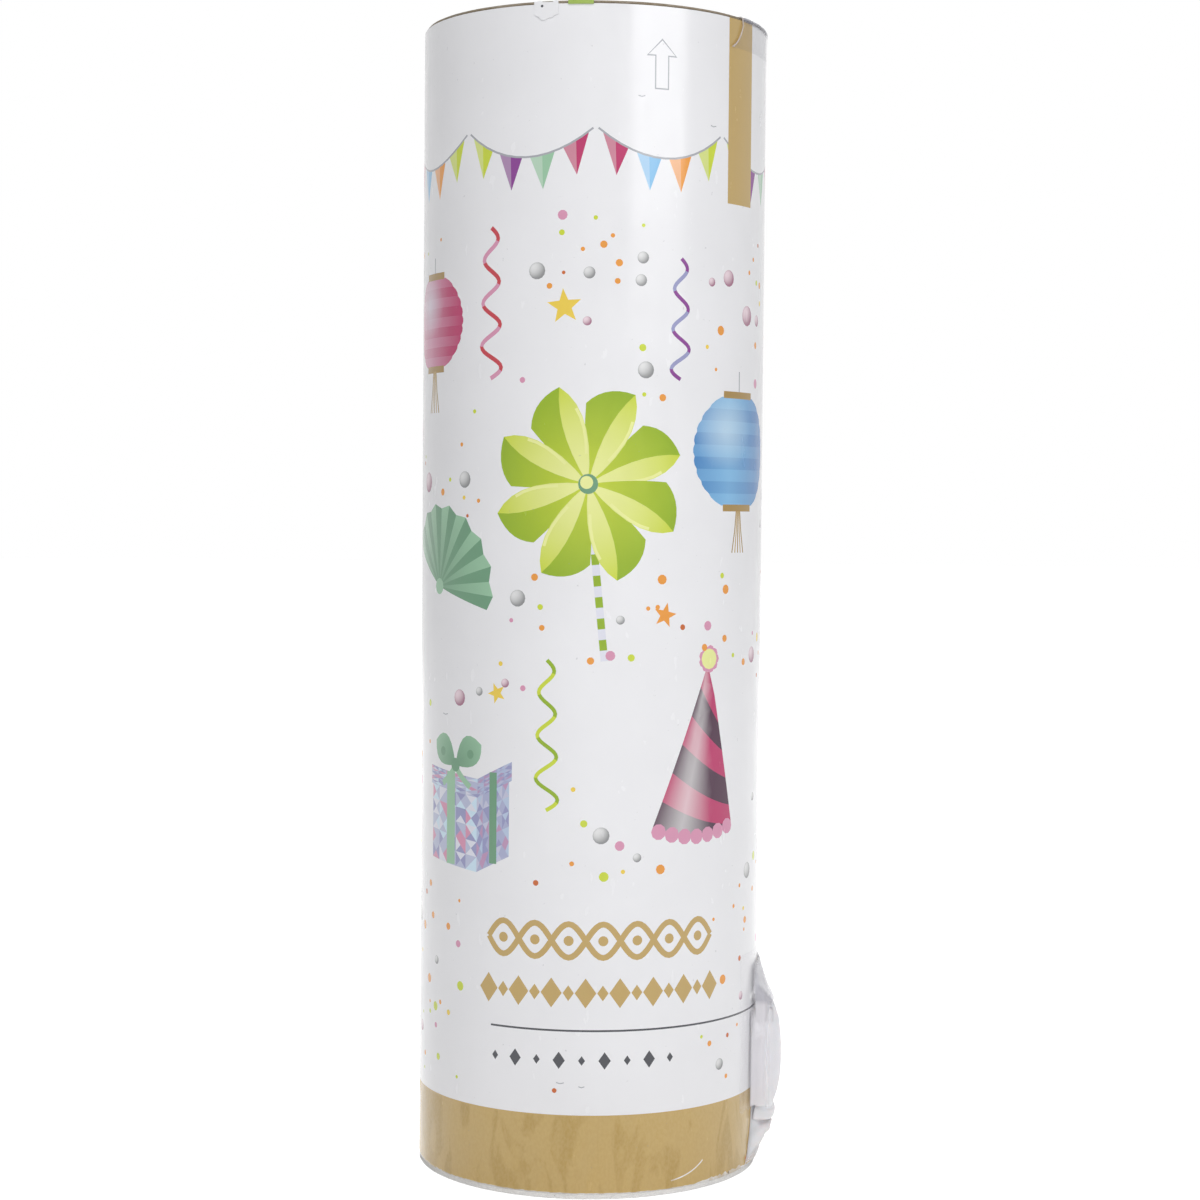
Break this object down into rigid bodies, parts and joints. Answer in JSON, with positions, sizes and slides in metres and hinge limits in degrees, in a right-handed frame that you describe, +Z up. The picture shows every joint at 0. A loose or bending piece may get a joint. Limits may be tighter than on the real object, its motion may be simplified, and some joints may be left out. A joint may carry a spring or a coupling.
{
  "type": "table party popper",
  "caption": "Upright card tube of party favours with a loose taped lid; a balloon in its foot, blown up through a neck folded up the wall, pushes a card pusher, the favours and the lid out.",
  "frame": {"origin": "centre of the foot disc's flat underside, on the table", "axes": "+Z up along the tube's axis to the lid, +X through the balloon's folded neck, and -Y out of the front of the label"},
  "size_m": [0.0781, 0.0723, 0.2386],
  "materials": {
    "label_paper": "gloss-varnished paper with a printed pattern and a gold band",
    "greyboard": "rough grey-brown paperboard",
    "lid_board": "rough beige-grey paperboard",
    "latex": "dull milky white latex",
    "clear_tape": "glossy clear film",
    "green_paper": "matt coloured paper",
    "gold_foil": "satin metallised card",
    "mask_film": "silver-lavender metallised card",
    "white_plastic": "glossy moulded plastic",
    "paper_magenta": "matt tissue paper",
    "paper_blue": "matt tissue paper",
    "paper_orange": "matt tissue paper",
    "paper_lime": "matt tissue paper",
    "paper_purple": "matt tissue paper",
    "paper_teal": "matt tissue paper",
    "paper_coral": "matt tissue paper",
    "paper_cream": "matt tissue paper"
  },
  "bodies": {
    "shell": {"outer_tube": "greyboard", "printed_label": "label_paper", "bottom_disc": "greyboard", "balloon_body": "latex", "balloon_neck_root": "latex"},
    "payload": {"pusher_disc": "greyboard", "domino_mask": "mask_film", "paper_crown_1": "paper_teal", "paper_crown_2": "gold_foil", "streamer_roll_1": "paper_blue", "streamer_roll_2": "paper_orange", "streamer_roll_3": "paper_lime", "streamer_roll_4": "paper_purple", "streamer_roll_5": "paper_teal", "streamer_roll_6": "paper_coral", "streamer_roll_7": "paper_cream", "streamer_roll_8": "paper_magenta", "ball_1": "paper_lime", "ball_2": "paper_coral", "ball_3": "paper_blue", "ball_4": "paper_purple", "ball_5": "paper_cream", "ball_6": "paper_orange", "ball_7": "paper_teal", "ball_8": "paper_magenta", "ball_9": "paper_lime", "ball_10": "paper_coral", "ball_11": "paper_blue", "ball_12": "paper_purple", "horn_1_mouthpiece": "white_plastic", "horn_1_collar": "gold_foil", "horn_1_coil": "paper_lime", "horn_2_mouthpiece": "white_plastic", "horn_2_collar": "gold_foil", "horn_2_coil": "paper_purple", "blowpipe_1": "paper_teal", "blowpipe_2": "paper_coral"},
    "lid": {"lid_disc": "lid_board", "lid_tab_green": "green_paper", "lid_tab_clear": "clear_tape"},
    "neck": {"balloon_neck_inner": "latex"},
    "neck_mouth": {"balloon_neck_outer": "latex"},
    "tape": {"clear_tape": "clear_tape"}
  },
  "joints": [
    {"name": "payload_push", "type": "slide", "parent": "shell", "child": "payload", "axis": [0, 0, 1], "range_m": [0, 0.185], "deforming": ["balloon_body"]},
    {"name": "lid_lift", "type": "slide", "parent": "payload", "child": "lid", "axis": [0, 0, 1], "range_m": [0, 0.05]},
    {"name": "neck_swing", "type": "hinge", "parent": "shell", "child": "neck", "pos_m": [0.0382, 0, 0.00515], "axis": [0, 1, 0], "range_deg": [0, 80]},
    {"name": "neck_unfold", "type": "hinge", "parent": "neck", "child": "neck_mouth", "pos_m": [0.03835, 0, 0.03445], "axis": [0, -1, 0], "range_deg": [0, 176]},
    {"name": "tape_off", "type": "slide", "parent": "shell", "child": "tape", "axis": [1, 0, 0], "range_m": [0, 0.1]}
  ],
  "couplings": [
    {"joint": "neck_unfold", "follows": "neck_swing", "ratio": 2.2},
    {"joint": "tape_off", "follows": "neck_swing", "m_per_rad": 0.0716}
  ]
}
